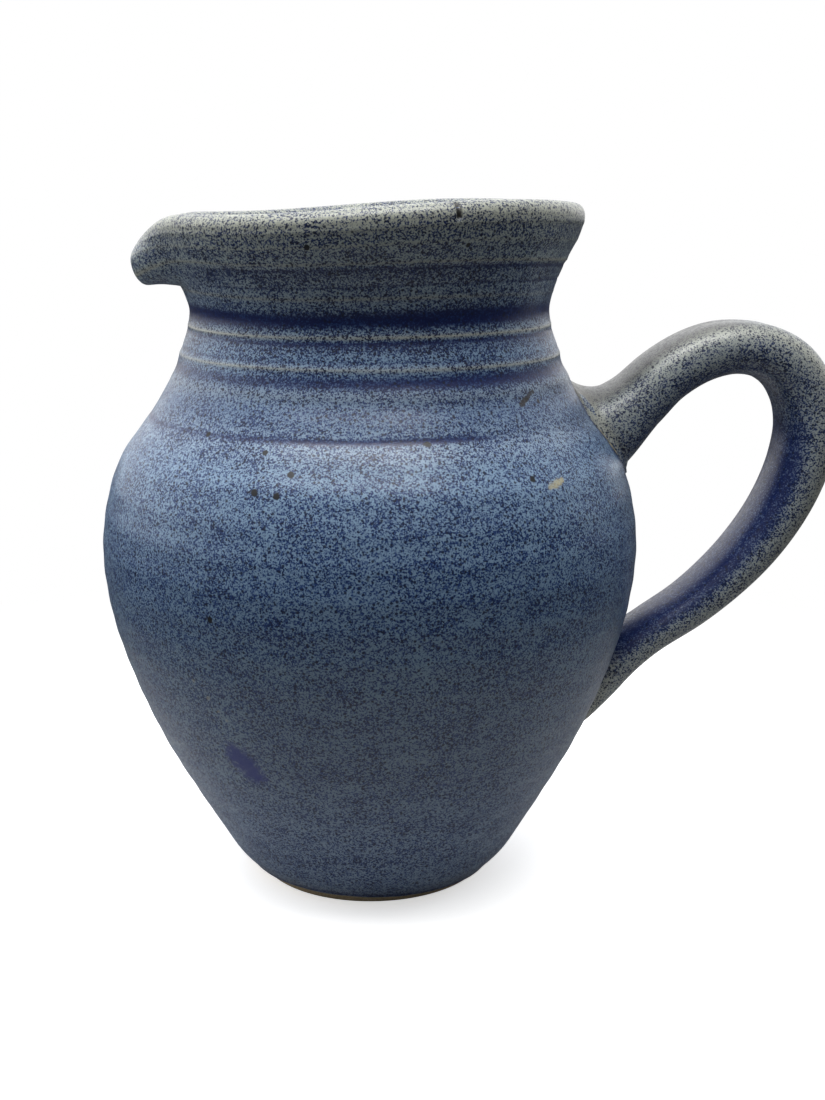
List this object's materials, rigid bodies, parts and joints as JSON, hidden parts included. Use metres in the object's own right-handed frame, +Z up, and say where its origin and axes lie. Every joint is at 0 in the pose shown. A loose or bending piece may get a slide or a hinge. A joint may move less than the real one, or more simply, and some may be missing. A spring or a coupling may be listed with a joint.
{
  "type": "ceramic pitcher",
  "caption": "Round-bellied wheel-thrown stoneware pitcher with a flared neck, a pulled pouring spout and a pulled strap handle, in speckled blue glaze.",
  "frame": {"origin": "centre of the flat foot, on the surface that the pitcher stands on", "axes": "+Z up along the axis it was thrown about, +X towards the handle, -X towards the spout, Y across it"},
  "size_m": [0.2181, 0.1566, 0.1997],
  "materials": {
    "stoneware": "bare fired buff stoneware, matt and slightly gritty",
    "slip": "bare fired joining slip, matt",
    "blue_glaze": "satin speckled blue-grey glaze, broken to beige where it is thin on edges and rings",
    "liner_glaze": "glossy grey-blue liner glaze, lightly speckled"
  },
  "bodies": {
    "root": {"body": "stoneware", "handle": "stoneware", "slip_upper": "slip", "slip_lower": "slip", "glaze_outside": "blue_glaze", "glaze_inside": "liner_glaze", "glaze_handle": "blue_glaze"}
  },
  "joints": []
}
